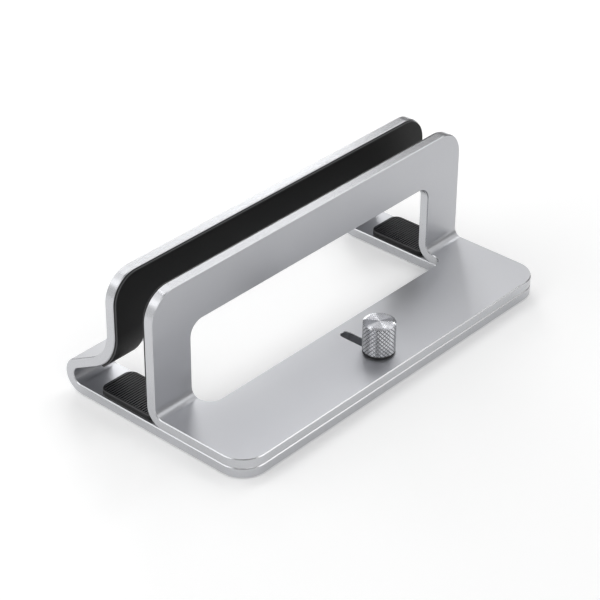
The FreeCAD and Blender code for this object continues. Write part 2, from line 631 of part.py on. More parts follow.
# Front wall pad: the same silicone sheet, flat, on the inner face of the front
# wall, from just above its bend.
front_pad = new_body("front_wall_pad")
sketch = new_sketch(front_pad, "pad_outline", "XZ_Plane", f"-({FRONT_WALL_BACK} + Sizes.pad_glue)")
outline(sketch, [
    (f"-{PAD_SIDE}", f"{FRONT_BEND_TOP} + Sizes.front_pad_foot", "Sizes.pad_leg_corner"),
    (PAD_SIDE, f"{FRONT_BEND_TOP} + Sizes.front_pad_foot", "Sizes.pad_leg_corner"),
    (PAD_SIDE, PAD_TOP, "0"),
    (f"-{PAD_SIDE}", PAD_TOP, "0"),
])
feature = pad(front_pad, "silicone_sheet", sketch, "Sizes.pad_thickness")
feature.Reversed = True
doc.recompute()
front_pad_side = size(f"{FRONT_WALL_BACK} + Sizes.pad_glue + Sizes.pad_thickness") - 0.01
finish_wall_pad(front_pad, lambda p: p.y > front_pad_side)
place(front_pad, "0", "0", "0")

# Rest pads: ribbed silicone on the legs of the base plate, behind the bend of
# the front wall. The laptop stands on them.
REST_HALF = "(Sizes.leg_width / 2 - Sizes.rest_side_margin)"
BEND_REACH = (
    f"sqrt({FRONT_BEND_OUTSIDE} ^ 2 - ({FRONT_BEND_OUTSIDE} - Sizes.rest_thickness) ^ 2)"
)
REST_FRONT = (
    f"(Sizes.plate_depth - Sizes.front_bend_radius + {BEND_REACH} + Sizes.rest_clearance)"
)
GROOVE_HALF = f"({REST_HALF} + {OVERRUN})"
GROOVE_SPAN = "(Sizes.rest_length - 2 * Sizes.rib_border - Sizes.rib_gap)"
for label, side in (("left_rest_pad", "-"), ("right_rest_pad", "")):
    rest = new_body(label)
    sketch = new_sketch(rest, "rest_outline", "XY_Plane")
    outline(sketch, [
        (f"-{REST_HALF}", "0", "Sizes.rest_corner"),
        (REST_HALF, "0", "Sizes.rest_corner"),
        (REST_HALF, "Sizes.rest_length", "Sizes.rest_corner"),
        (f"-{REST_HALF}", "Sizes.rest_length", "Sizes.rest_corner"),
    ])
    pad(rest, "moulded_pad", sketch, "Sizes.rest_thickness")
    top = size("Sizes.rest_thickness") - 0.01
    edges = sharp_edges(rest.Shape, lambda p: p.z > top)
    dress(rest, "Chamfer", "rest_edge", edges, "Sizes.rest_chamfer")
    sketch = new_sketch(rest, "first_groove", "XY_Plane", "Sizes.rest_thickness")
    outline(sketch, [
        (f"-{GROOVE_HALF}", "Sizes.rib_border", "0"),
        (GROOVE_HALF, "Sizes.rib_border", "0"),
        (GROOVE_HALF, "Sizes.rib_border + Sizes.rib_gap", "0"),
        (f"-{GROOVE_HALF}", "Sizes.rib_border + Sizes.rib_gap", "0"),
    ])
    groove = pocket(rest, "groove_cut", sketch, "Sizes.rib_depth")
    grooves = rest.newObject("PartDesign::LinearPattern", "grooves")
    grooves.Originals = [groove]
    grooves.Direction = (sketch, ["V_Axis"])
    grooves.Mode = "Spacing"
    grooves.setExpression("Offset", "Sizes.rib_pitch")
    grooves.setExpression("Occurrences", f"floor({GROOVE_SPAN} / Sizes.rib_pitch) + 1")
    rest.Tip = grooves
    place(rest, f"{side}{SIDE_MIDDLE}", REST_FRONT, "Sizes.sheet_thickness")

# Clamp screw: countersunk, from below through the base plate and the slot.
screw = new_body("clamp_screw")
sketch = new_sketch(screw, "screw_profile", "XZ_Plane")
HEAD_END = "(Sizes.head_rim + (Sizes.head_diameter - Sizes.screw_diameter) / 2)"
polygon(sketch, [
    ("0", "0"),
    ("Sizes.head_diameter / 2", "0"),
    ("Sizes.head_diameter / 2", "Sizes.head_rim"),
    ("Sizes.screw_diameter / 2", HEAD_END),
    ("Sizes.screw_diameter / 2", "Sizes.screw_length - Sizes.screw_end_chamfer"),
    ("Sizes.screw_diameter / 2 - Sizes.screw_end_chamfer", "Sizes.screw_length"),
    ("0", "Sizes.screw_length"),
])
revolve(screw, "turned_screw", sketch)
sketch = new_sketch(screw, "socket", "XY_Plane")
SOCKET_CORNER = "(Sizes.socket_width / 2 / cos(30))"
polygon(sketch, [
    (SOCKET_CORNER, "0"),
    (f"{SOCKET_CORNER} / 2", "Sizes.socket_width / 2"),
    (f"-{SOCKET_CORNER} / 2", "Sizes.socket_width / 2"),
    (f"-{SOCKET_CORNER}", "0"),
    (f"-{SOCKET_CORNER} / 2", "-Sizes.socket_width / 2"),
    (f"{SOCKET_CORNER} / 2", "-Sizes.socket_width / 2"),
])
pocket(screw, "socket_cut", sketch, "Sizes.socket_depth", reverse=True)
place(screw, "0", "Sizes.screw_place", "Sizes.head_inset")

# Guide pins, pressed in the base plate. They keep the sliding bracket square.
PIN_LENGTH = "(Sizes.sheet_thickness + Sizes.pin_reach - Sizes.pin_inset)"
for label, side in (("left_guide_pin", "-"), ("right_guide_pin", "")):
    pin = new_body(label)
    sketch = new_sketch(pin, "pin_profile", "XZ_Plane")
    polygon(sketch, [
        ("0", "0"),
        ("Sizes.pin_diameter / 2", "0"),
        ("Sizes.pin_diameter / 2", f"{PIN_LENGTH} - Sizes.pin_chamfer"),
        ("Sizes.pin_diameter / 2 - Sizes.pin_chamfer", PIN_LENGTH),
        ("0", PIN_LENGTH),
    ])
    revolve(pin, "turned_pin", sketch)
    place(pin, f"{side}{PIN_PLACE}", "Sizes.screw_place", "Sizes.pin_inset")

# Nylon ring that lets the knob turn on the top plate without marking it.
washer = new_body("knob_washer")
sketch = new_sketch(washer, "ring_profile", "XZ_Plane")
RING_BORE = "(Sizes.screw_diameter / 2 + Sizes.washer_clearance)"
RING_SIDE = "(Sizes.washer_diameter / 2)"
polygon(sketch, [
    (RING_BORE, "0"),
    (f"{RING_SIDE} - Sizes.washer_chamfer", "0"),
    (RING_SIDE, "Sizes.washer_chamfer"),
    (RING_SIDE, "Sizes.washer_thickness - Sizes.washer_chamfer"),
    (f"{RING_SIDE} - Sizes.washer_chamfer", "Sizes.washer_thickness"),
    (RING_BORE, "Sizes.washer_thickness"),
])
revolve(washer, "turned_ring", sketch)
place(washer, "0", "Sizes.screw_place", PLATE_TOP)

# Knob blank: turned, with a bevelled top, a broken foot and a blind bore.
blank = new_body("knob_blank")
sketch = new_sketch(blank, "knob_profile", "XZ_Plane")
KNOB_SIDE = "(Sizes.knob_diameter / 2)"
BORE_SIDE = "(Sizes.screw_diameter / 2 + Sizes.bore_clearance)"
polygon(sketch, [
    (BORE_SIDE, "0"),
    (f"{KNOB_SIDE} - Sizes.knob_foot_chamfer", "0"),
    (KNOB_SIDE, "Sizes.knob_foot_chamfer"),
    (KNOB_SIDE, "Sizes.knob_height - Sizes.knob_bevel_height"),
    (f"{KNOB_SIDE} - Sizes.knob_bevel_width", "Sizes.knob_height"),
    ("0", "Sizes.knob_height"),
    ("0", "Sizes.bore_depth"),
    (BORE_SIDE, "Sizes.bore_depth"),
])
revolve(blank, "turned_blank", sketch)


def knurled_bar():
    """Bar with a diamond knurl, longer than the knob at both ends.

    Two sets of grooves of opposite hand cross. Each diamond is a pyramid whose
    point lies at the knob's radius and whose corners lie where grooves cross.
    """
    starts = round(size("Sizes.knurl_starts"))
    half_pitch = size("Sizes.knurl_pitch") / 2
    outer = size(KNOB_SIDE)
    inner = outer - size("Sizes.knurl_depth")
    rows = math.ceil(size("Sizes.knob_height") / half_pitch) + 4
    columns = 2 * starts

    def corner(column, row):
        at_end = row in (0, rows)
        point = (column + row) % 2 == 1 and not at_end
        radius = outer if point else inner
        turn = 2 * math.pi * column / columns
        height = (row - 2) * half_pitch
        return FreeCAD.Vector(radius * math.cos(turn), radius * math.sin(turn), height)

    faces = []
    for row in range(rows):
        for column in range(columns):
            low = corner(column, row)
            low_next = corner(column + 1, row)
            high = corner(column, row + 1)
            high_next = corner(column + 1, row + 1)
            if (column + row) % 2 == 1:
                triangles = ((low, low_next, high), (low_next, high_next, high))
            else:
                triangles = ((low, low_next, high_next), (low, high_next, high))
            for triangle in triangles:
                faces.append(Part.Face(Part.makePolygon([*triangle, triangle[0]])))
    for row in (0, rows):
        rim = [corner(column, row) for column in range(columns)]
        faces.append(Part.Face(Part.makePolygon([*rim, rim[0]])))
    return Part.makeSolid(Part.makeShell(faces))


# Knob: the blank keeps only what the knurled bar leaves of it.
bar = doc.addObject("Part::Feature", "knurled_bar")
bar.Shape = knurled_bar()
knob = doc.addObject("Part::Common", "clamp_knob")
knob.Label = "clamp_knob"
knob.Base = blank
knob.Tool = bar
place(knob, "0", "Sizes.screw_place", KNOB_SEAT)

# Feet: silicone, glued in the shallow recesses under the base plate.
FOOT_SIDE = "(Sizes.foot_width / 2)"
for label, side in (("front_left_foot", "-"), ("front_right_foot", "")):
    foot = new_body(label)
    sketch = new_sketch(foot, "foot_outline", "XY_Plane")
    obround(sketch, (f"-{FOOT_HALF}", "0"), (FOOT_HALF, "0"), FOOT_SIDE)
    pad(foot, "foot_sheet", sketch, "Sizes.foot_thickness")
    place(foot, f"{side}{FRONT_FOOT}", "Sizes.front_foot_place", f"-{STAND_HEIGHT}")
for label, side in (("rear_left_foot", "-"), ("rear_right_foot", "")):
    foot = new_body(label)
    sketch = new_sketch(foot, "foot_outline", "XY_Plane")
    obround(sketch, ("0", f"-{FOOT_HALF}"), ("0", FOOT_HALF), FOOT_SIDE)
    pad(foot, "foot_sheet", sketch, "Sizes.foot_thickness")
    place(foot, f"{side}{SIDE_MIDDLE}", "Sizes.rear_foot_place", f"-{STAND_HEIGHT}")

PIECES = [
    "base_bracket",
    "sliding_bracket",
    "rear_wall_pad",
    "front_wall_pad",
    "left_rest_pad",
    "right_rest_pad",
    "clamp_screw",
    "left_guide_pin",
    "right_guide_pin",
    "knob_washer",
    "clamp_knob",
    "front_left_foot",
    "front_right_foot",
    "rear_left_foot",
    "rear_right_foot",
]

doc.recompute()
for item in doc.Objects:
    if "Invalid" in item.State or "Error" in item.State:
        raise ValueError(f"{item.Name} is {item.State}")
pieces = [doc.getObjectsByLabel(label)[0] for label in PIECES]
for piece in pieces:
    if piece.Shape.isNull() or not piece.Shape.isValid() or len(piece.Shape.Solids) != 1:
        raise ValueError(f"{piece.Label} is not one valid solid")

os.makedirs("parts", exist_ok=True)
for piece in pieces:
    piece.Shape.exportStep(f"parts/{piece.Label}.step")
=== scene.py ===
import math

import bmesh
import bpy
from mathutils import Matrix, Vector


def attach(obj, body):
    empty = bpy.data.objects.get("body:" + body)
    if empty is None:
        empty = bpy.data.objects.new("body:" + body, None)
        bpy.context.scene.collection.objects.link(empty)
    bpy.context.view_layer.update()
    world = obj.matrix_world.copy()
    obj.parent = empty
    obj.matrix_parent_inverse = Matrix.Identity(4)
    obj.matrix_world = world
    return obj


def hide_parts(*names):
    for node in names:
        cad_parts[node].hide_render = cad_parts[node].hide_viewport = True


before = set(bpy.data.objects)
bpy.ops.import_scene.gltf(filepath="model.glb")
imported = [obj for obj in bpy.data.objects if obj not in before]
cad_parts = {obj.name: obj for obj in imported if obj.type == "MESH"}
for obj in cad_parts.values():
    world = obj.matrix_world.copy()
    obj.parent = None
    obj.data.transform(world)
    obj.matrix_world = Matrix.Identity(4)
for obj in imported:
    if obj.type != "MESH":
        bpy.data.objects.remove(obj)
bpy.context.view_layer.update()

# Base bracket: one 4.2 mm aluminium sheet, folded back on itself behind the laptop
# and bent up again into the rear wall. It is milled to shape, bead blasted and
# anodised, and holds the clamp screw, the guide pins and the feet.
MM = 0.001
LENGTH = 180
SHEET = 4.2
WALL_HEIGHT = 60
REAR_WALL = 65.6
PLATE_CORNER = 11
WALL_CORNER = 12
CHAMFER = 0.35
FOLD_Y = 86.1
FOLD_OUTSIDE = 7.7
SLOPE = 28.5
BEND_Y = 86.8
BEND_RADIUS = 17
WINDOW_SIDE = 70
WINDOW_TOP = 40
WINDOW_CORNER = 6
BASE_STRIP = 35
ORIGIN = Vector((0, -46.9, 0.5))
across_flange = Vector((0, math.sin(math.radians(SLOPE)), math.cos(math.radians(SLOPE))))
BEND_Z = FOLD_OUTSIDE + (
    FOLD_OUTSIDE + BEND_RADIUS - (BEND_Y - FOLD_Y) * across_flange.y
) / across_flange.z


def at(x, y, z):
    """Place of a point given in millimetres from the middle of the front edge,
    at the underside of the base plate."""
    return (Vector((x, y, z)) + ORIGIN) * MM


def new_plane(name, width, depth, middle, tilt=0):
    """Flat sheet, tilted about its width, left open in edit mode."""
    bpy.ops.object.select_all(action="DESELECT")
    turn = (math.radians(tilt), 0, 0)
    bpy.ops.mesh.primitive_plane_add(size=1, location=at(*middle), rotation=turn)
    piece = bpy.context.object
    piece.name = piece.data.name = name
    piece.scale = (width * MM, depth * MM, 1)
    bpy.ops.object.transform_apply(location=True, rotation=True, scale=True)
    bpy.ops.object.mode_set(mode="EDIT")
    return piece


def pick(kind, test):
    """Select the vertices, edges or faces of the open piece that pass the test,
    which is given x, y, z of the middle in millimetres and the part itself."""
    bpy.ops.mesh.select_mode(type=kind)
    bpy.ops.mesh.select_all(action="DESELECT")
    mesh = bpy.context.object.data
    shape = bmesh.from_edit_mesh(mesh)
    parts = {"VERT": shape.verts, "EDGE": shape.edges, "FACE": shape.faces}[kind]
    for part in parts:
        corners = [part] if kind == "VERT" else part.verts
        middle = sum((corner.co for corner in corners), Vector()) / len(corners)
        if test(*(middle / MM - ORIGIN), part):
            part.select = True
    shape.select_flush_mode()
    bmesh.update_edit_mesh(mesh)


def carry(x, y, z):
    """Extrude what is selected by a way in millimetres."""
    bpy.ops.mesh.extrude_region_move(TRANSFORM_OT_translate={"value": (x * MM, y * MM, z * MM)})


def bend(y, z, angle):
    """Extrude the selected edge round an axis that lies along the stand."""
    steps = max(1, round(abs(angle) / 3))
    turn = -math.radians(angle)
    bpy.ops.mesh.spin(steps=steps, angle=turn, center=at(0, y, z), axis=(1, 0, 0))


def bevel(size, segments, affect="EDGES", finish=-1):
    """Bevel what is selected; finish is the number of the new faces' material."""
    bpy.ops.mesh.bevel(
        offset=size * MM, offset_type="OFFSET", segments=segments, affect=affect,
        clamp_overlap=False, material=finish,
    )


def close_piece(piece):
    """Merge doubled points, point the faces outwards and leave edit mode."""
    bpy.ops.mesh.select_mode(type="VERT")
    bpy.ops.mesh.select_all(action="SELECT")
    bpy.ops.mesh.remove_doubles(threshold=0.002 * MM)
    bpy.ops.mesh.normals_make_consistent(inside=False)
    bpy.ops.object.mode_set(mode="OBJECT")
    return piece


def apply(piece, kind, **settings):
    """Add a modifier to the piece and apply it."""
    bpy.ops.object.select_all(action="DESELECT")
    piece.select_set(True)
    bpy.context.view_layer.objects.active = piece
    modifier = piece.modifiers.new(kind.lower(), kind)
    for name, value in settings.items():
        setattr(modifier, name, value)
    bpy.ops.object.modifier_apply(modifier=modifier.name)


def cut(piece, tool, finish=None, operation="DIFFERENCE", carried=False):
    """Cut the piece with a tool, which is used up and leaves the finish that it is
    given here or has carried with it."""
    if finish:
        tool.data.materials.append(finish)
    apply(
        piece, "BOOLEAN", object=tool, operation=operation, solver="EXACT",
        material_mode="TRANSFER" if finish or carried else "INDEX",
    )
    bpy.data.objects.remove(tool)


def window_tool(front):
    """Block that cuts the window from the plate's strip to the rear, rounded
    where the plate and the wall end it."""
    back = 100
    low = -5
    bpy.ops.object.select_all(action="DESELECT")
    middle = at(0, (front + back) / 2, (WINDOW_TOP + low) / 2)
    bpy.ops.mesh.primitive_cube_add(size=1, location=middle)
    tool = bpy.context.object
    tool.scale = (2 * WINDOW_SIDE * MM, (back - front) * MM, (WINDOW_TOP - low) * MM)
    bpy.ops.object.transform_apply(location=True, rotation=True, scale=True)
    bpy.ops.object.mode_set(mode="EDIT")
    side = WINDOW_SIDE - 0.01
    pick(
        "EDGE",
        lambda x, y, z, edge: abs(x) > side
        and (abs(y - front) < 0.01 and abs(z - low) > 1 or z > WINDOW_TOP - 0.01 and y < back - 1),
    )
    bevel(WINDOW_CORNER, 14)
    return close_piece(tool)


def slanted(normal):
    """Whether a direction is half way between level and upright."""
    return 0.3 < abs(normal.z) < 0.95


def chamfer_edges(piece, size):
    """Break every edge where two faces meet at about a right angle, and leave the
    chamfers bright round the front edge and milled elsewhere."""
    bpy.context.view_layer.objects.active = piece
    bpy.ops.object.mode_set(mode="EDIT")
    bpy.ops.mesh.select_mode(type="EDGE")
    bpy.ops.mesh.select_all(action="DESELECT")
    bpy.ops.mesh.edges_select_sharp(sharpness=math.radians(50))
    bevel(size, 1, finish=1)
    front = PLATE_CORNER + 1
    pick("FACE", lambda x, y, z, face: y < front and face.normal.y < -0.35 and slanted(face.normal))
    piece.active_material_index = 2
    bpy.ops.object.material_slot_assign()
    close_piece(piece)


def smooth(piece, angle=30):
    """Smooth shading up to an angle, with flat faces kept flat."""
    bpy.ops.object.select_all(action="DESELECT")
    piece.select_set(True)
    bpy.context.view_layer.objects.active = piece
    bpy.ops.object.shade_smooth_by_angle(angle=math.radians(angle))
    apply(piece, "WEIGHTED_NORMAL", mode="FACE_AREA", weight=50, keep_sharp=True)


def slot_tool(x, y, long_way, width, low, high, segments=16):
    """Prism with two round ends, or one round hole where long_way is (0, 0)."""
    size = (width + 2 * long_way[0], width + 2 * long_way[1])
    tool = new_plane("tool", *size, (x, y, low))
    pick("VERT", lambda *place: True)
    bevel(width / 2 - 0.0005, segments, "VERTICES")
    bpy.ops.mesh.select_all(action="SELECT")
    carry(0, 0, high - low)
    return close_piece(tool)


def colour(code):
    """Linear colour of an sRGB hex code."""
    parts = [int(code[i:i + 2], 16) / 255 for i in (1, 3, 5)]
    return (*[p / 12.92 if p < 0.04045 else ((p + 0.055) / 1.055) ** 2.4 for p in parts], 1)


def add_node(tree, kind, settings={}, links={}):
    """Add a node, set its properties and inputs, and link outputs to its inputs."""
    node = tree.nodes.new("ShaderNode" + kind)
    for name, value in settings.items():
        if isinstance(name, str) and hasattr(node, name):
            setattr(node, name, value)
        else:
            node.inputs[name].default_value = value
    for name, output in links.items():
        tree.links.new(output, node.inputs[name])
    return node


def new_material(name):
    """Empty material, with the place on the object that its patterns follow."""
    material = bpy.data.materials.new(name)
    material.use_nodes = True
    material.node_tree.nodes.clear()
    return material, material.node_tree, add_node(material.node_tree, "TexCoord").outputs["Object"]


def grained(name, tones, grain, dull, relief, shader):
    """Finish with a fine random grain, in millimetres: it moves the roughness between
    the two values of dull and stands up by the relief, and wide clouds move the tone.
    Two equal values leave the roughness even."""
    material, tree, place = new_material(name)
    grains = add_node(
        tree, "TexNoise", {"Scale": 1 / (grain * MM), "Detail": 2, "Roughness": 0.6}, {"Vector": place}
    ).outputs["Fac"]
    clouds = add_node(tree, "TexNoise", {"Scale": 1 / (25 * MM), "Detail": 1}, {"Vector": place})
    tone = add_node(
        tree, "Mix", {"data_type": "RGBA", 6: colour(tones[0]), 7: colour(tones[1])},
        {0: clouds.outputs["Fac"]},
    )
    rough = add_node(
        tree, "MapRange", {"From Min": 0.3, "From Max": 0.7, "To Min": dull[0], "To Max": dull[1]},
        {"Value": grains},
    )
    bump = add_node(tree, "Bump", {"Strength": 0.15, "Distance": relief * MM}, {"Height": grains})
    surface = add_node(
        tree, "BsdfPrincipled", shader,
        {
            "Base Color": tone.outputs[2],
            "Roughness": rough.outputs["Result"],
            "Normal": bump.outputs["Normal"],
        },
    )
    add_node(tree, "OutputMaterial", {}, {"Surface": surface.outputs["BSDF"]})
    return material


def paint(piece, slot, *finishes):
    """Give the piece its finishes. The slot argument is not used."""
    for finish in finishes:
        piece.data.materials.append(finish)


# Bead-blasted, silver anodised aluminium: a soft silver metal with a fine, even grain
# that spreads its highlights. The dimples of the beads, about 0.1 mm, are drawn 0.4 mm
# wide so that they show. The slot's wall is blasted too. The milled edges of the sheet
# are smoother and even, so they reflect in crisper bands. The chamfers round the front
# edge are cut bright after the blasting, and draw two thin lines along it.
METAL = {"Metallic": 1.0}
SILVER = ("#BEBFC3", "#C3C4C7")
blasted = grained("blasted_anodised_aluminium", SILVER, 0.4, (0.38, 0.44), 0.02, METAL)
milled = grained("milled_aluminium", ("#C0C1C4", "#C4C5C8"), 0.25, (0.25, 0.25), 0.0002, METAL)
bright = grained("bright_cut_aluminium", ("#DADBDD", "#DCDDDF"), 0.3, (0.22, 0.22), 0.0002, METAL)

base = new_plane("folded_base", LENGTH, FOLD_Y, (0, FOLD_Y / 2, 0))
paint(base, "bead_blasted_aluminium", blasted, milled, bright)
pick("EDGE", lambda x, y, z, edge: y > FOLD_Y - 0.01)
bend(FOLD_Y, FOLD_OUTSIDE, 180 - SLOPE)
flange = Vector((0, BEND_Y - FOLD_Y, BEND_Z - FOLD_OUTSIDE))
flange -= across_flange * (FOLD_OUTSIDE + BEND_RADIUS)
carry(*flange)
bend(BEND_Y, BEND_Z, SLOPE - 90)
carry(0, 0, WALL_HEIGHT - BEND_Z)
pick("VERT", lambda x, y, z, point: y < 0.01)
bevel(PLATE_CORNER, 20, "VERTICES")
pick("VERT", lambda x, y, z, point: z > WALL_HEIGHT - 0.01)
bevel(WALL_CORNER, 20, "VERTICES")
close_piece(base)
thicken = {"offset": -1, "use_even_offset": True, "material_offset_rim": 1}
apply(base, "SOLIDIFY", thickness=SHEET * MM, **thicken)
cut(base, window_tool(BASE_STRIP), milled)
chamfer_edges(base, CHAMFER)

# Countersunk hole of the clamp screw, press holes of the two guide pins and the
# shallow recesses of the four feet.
SCREW_Y = 12.5
SCREW_HOLE = 2.05
PIN_X = 50
PIN_HOLE = 2.02
BELOW = -1
THROUGH = 6
FOOT_WIDTH = 8
FOOT_REACH = 8
FOOT_RECESS = 0.5
FOOT_GAP = 0.1
FRONT_FEET = ((-72, 8), (72, 8))
REAR_FEET = ((-80, 69), (80, 69))


def turn_piece(name, x, y, rings, sides=96, ring_shaped=False):
    """Turned shape from rings (radius, height) in millimetres, bottom to top.
    A ring-shaped piece has its bore among the rings and closes on the first."""
    bpy.ops.object.select_all(action="DESELECT")
    radius, height = rings[0]
    bpy.ops.mesh.primitive_circle_add(
        vertices=sides,
        radius=radius * MM,
        fill_type="NOTHING" if ring_shaped else "NGON",
        location=at(x, y, height),
        rotation=(0, 0, math.radians(-360 / sides / 2)),
    )
    piece = bpy.context.object
    piece.name = piece.data.name = name
    bpy.ops.object.transform_apply(location=True, rotation=True, scale=True)
    bpy.ops.object.mode_set(mode="EDIT")
    bpy.ops.mesh.select_all(action="SELECT")
    for next_radius, next_height in rings[1:] + rings[:1] * ring_shaped:
        carry(0, 0, next_height - height)
        grow = next_radius / radius
        bpy.ops.transform.resize(value=(grow, grow, 1), center_override=at(x, y, next_height))
        radius, height = next_radius, next_height
    return close_piece(piece)


screw_hole = turn_piece("tool", 0, SCREW_Y, [
    (5.15, BELOW),
    (4.3, -0.01),
    (SCREW_HOLE, 2.24),
    (SCREW_HOLE, THROUGH),
])
cut(base, screw_hole, milled)
for side in (-1, 1):
    hole = turn_piece("tool", side * PIN_X, SCREW_Y, [(PIN_HOLE, BELOW), (PIN_HOLE, THROUGH)])
    cut(base, hole, milled)
recess_width = FOOT_WIDTH + 2 * FOOT_GAP
for x, y in FRONT_FEET:
    cut(base, slot_tool(x, y, (FOOT_REACH, 0), recess_width, -2, FOOT_RECESS), milled)
for x, y in REAR_FEET:
    cut(base, slot_tool(x, y, (0, FOOT_REACH), recess_width, -2, FOOT_RECESS), milled)
smooth(base)
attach(base, "base")
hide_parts("base_bracket")

# Sliding bracket: top plate and front wall in one bent sheet of the same metal.
# Its slot runs past the clamp screw, and two blind grooves under the plate run on
# the guide pins, so that the front wall can be set to the laptop's thickness.
WALL_BACK = 49.6
PLATE_TOP = 8.4
STRIP = 35.8
SLOT_END = 29.3
SLOT_WIDTH = 4.2
SLOT_CHAMFER = 0.2
GROOVE_DEPTH = 2.3
flat = WALL_BACK - FOLD_OUTSIDE
slider = new_plane("sliding_front", LENGTH, flat, (0, flat / 2, SHEET))
paint(slider, "bead_blasted_aluminium", blasted, milled, bright)
pick("EDGE", lambda x, y, z, edge: y > flat - 0.01)
bend(flat, SHEET + FOLD_OUTSIDE, 90)
carry(0, 0, WALL_HEIGHT - SHEET - FOLD_OUTSIDE)
pick("VERT", lambda x, y, z, point: y < 0.01)
bevel(PLATE_CORNER, 20, "VERTICES")
pick("VERT", lambda x, y, z, point: z > WALL_HEIGHT - 0.01)
bevel(WALL_CORNER, 20, "VERTICES")
close_piece(slider)
apply(slider, "SOLIDIFY", thickness=SHEET * MM, **thicken)
cut(slider, window_tool(STRIP), milled)
chamfer_edges(slider, CHAMFER)
slot_middle = (SCREW_Y + SLOT_END) / 2
slot_reach = (SLOT_END - SCREW_Y) / 2
cut(slider, slot_tool(0, slot_middle, (0, slot_reach), SLOT_WIDTH, 0, 12), blasted)
bpy.context.view_layer.objects.active = slider
bpy.ops.object.mode_set(mode="EDIT")
pick(
    "EDGE",
    lambda x, y, z, edge: abs(z - PLATE_TOP) < 0.01
    and abs(x) < SLOT_WIDTH
    and SCREW_Y - 3 < y < SLOT_END + 3
    and all(abs(point.co.z / MM - ORIGIN.z - PLATE_TOP) < 0.01 for point in edge.verts),
)
bevel(SLOT_CHAMFER, 1, finish=1)
close_piece(slider)
for side in (-1, 1):
    groove = slot_tool(
        side * PIN_X, slot_middle, (0, slot_reach), SLOT_WIDTH, 2, SHEET + GROOVE_DEPTH
    )
    cut(slider, groove, milled)
smooth(slider)
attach(slider, "slider")
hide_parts("sliding_bracket")

# Rear wall pad: 1 mm silicone sheet, cut as an arch and glued to the rear wall and
# round its bend. It keeps the laptop's lid from the metal.
PAD_MARGIN = 0.5
PAD_SIDE = LENGTH / 2 - PAD_MARGIN
PAD_TOP = WALL_HEIGHT - PAD_MARGIN
PAD_CORNER = WALL_CORNER - PAD_MARGIN
PAD_GLUE = 0.05
PAD_THICKNESS = 1
PAD_WINDOW_MARGIN = 4.5
PAD_WINDOW_SIDE = WINDOW_SIDE + PAD_WINDOW_MARGIN
PAD_WINDOW_TOP = WINDOW_TOP + PAD_WINDOW_MARGIN
PAD_WINDOW_CORNER = WINDOW_CORNER + PAD_WINDOW_MARGIN
PAD_WRAP = 52
PAD_EDGE = 0.35


def cut_pad_window(piece, front, back):
    """Arch of a wall pad, a little larger than the window in the metal."""
    bpy.ops.object.select_all(action="DESELECT")
    low = -5
    middle = at(0, (front + back) / 2, (PAD_WINDOW_TOP + low) / 2)
    bpy.ops.mesh.primitive_cube_add(size=1, location=middle)
    tool = bpy.context.object
    tool.scale = (2 * PAD_WINDOW_SIDE * MM, (back - front) * MM, (PAD_WINDOW_TOP - low) * MM)
    bpy.ops.object.transform_apply(location=True, rotation=True, scale=True)
    bpy.ops.object.mode_set(mode="EDIT")
    side = PAD_WINDOW_SIDE - 0.01
    on_top = PAD_WINDOW_TOP - 0.01
    pick("EDGE", lambda x, y, z, edge: abs(x) > side and z > on_top)
    bevel(PAD_WINDOW_CORNER, 16)
    cut(piece, close_piece(tool))


def round_front(piece, test):
    """Round the edge of a wall pad on the laptop's side."""
    bpy.context.view_layer.objects.active = piece
    bpy.ops.object.mode_set(mode="EDIT")
    pick("FACE", test)
    bpy.ops.mesh.region_to_loop()
    # The rounded edge takes the pad's second finish, a lighter grey that is a painted highlight.
    bevel(PAD_EDGE, 3, finish=1)
    close_piece(piece)


# Matt black silicone rubber: moulded against a finely etched tool, which leaves a
# faint tooth. The tooth, about 0.1 mm, is drawn 0.3 mm wide. The rounded edges get a
# lighter grey as a painted highlight, which draws the outline of each pad.
RUBBER = {"IOR": 1.41}
silicone = grained("etched_black_silicone", ("#09090A", "#0D0D0E"), 0.3, (0.5, 0.64), 0.03, RUBBER)
edge_painted_highlight = grained("silicone_edge_painted_highlight", ("#444446", "#4A4A4C"), 0.3, (0.5, 0.6), 0.02, RUBBER)
pad_back = REAR_WALL - PAD_GLUE
rear_middle = (0, pad_back, (PAD_TOP + BEND_Z) / 2)
rear_pad = new_plane("rear_pad", 2 * PAD_SIDE, PAD_TOP - BEND_Z, rear_middle, 90)
paint(rear_pad, "black_silicone", silicone, edge_painted_highlight)
pick("EDGE", lambda x, y, z, edge: z < BEND_Z + 0.01)
bend(BEND_Y, BEND_Z, PAD_WRAP)
pick("VERT", lambda x, y, z, point: z > PAD_TOP - 0.01)
bevel(PAD_CORNER, 20, "VERTICES")
close_piece(rear_pad)
apply(rear_pad, "SOLIDIFY", thickness=PAD_THICKNESS * MM, offset=-1, use_even_offset=True)
cut_pad_window(rear_pad, 50, 100)
pad_outside = BEND_Y - pad_back + PAD_THICKNESS


def faces_laptop(x, y, z, face):
    """Whether a face of the rear pad lies on the side that meets the laptop."""
    if z > BEND_Z:
        return abs(y - pad_back + PAD_THICKNESS) < 0.02
    return abs(math.hypot(y - BEND_Y, z - BEND_Z) - pad_outside) < 0.05


round_front(rear_pad, faces_laptop)
smooth(rear_pad)

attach(rear_pad, "base")
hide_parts("rear_wall_pad")

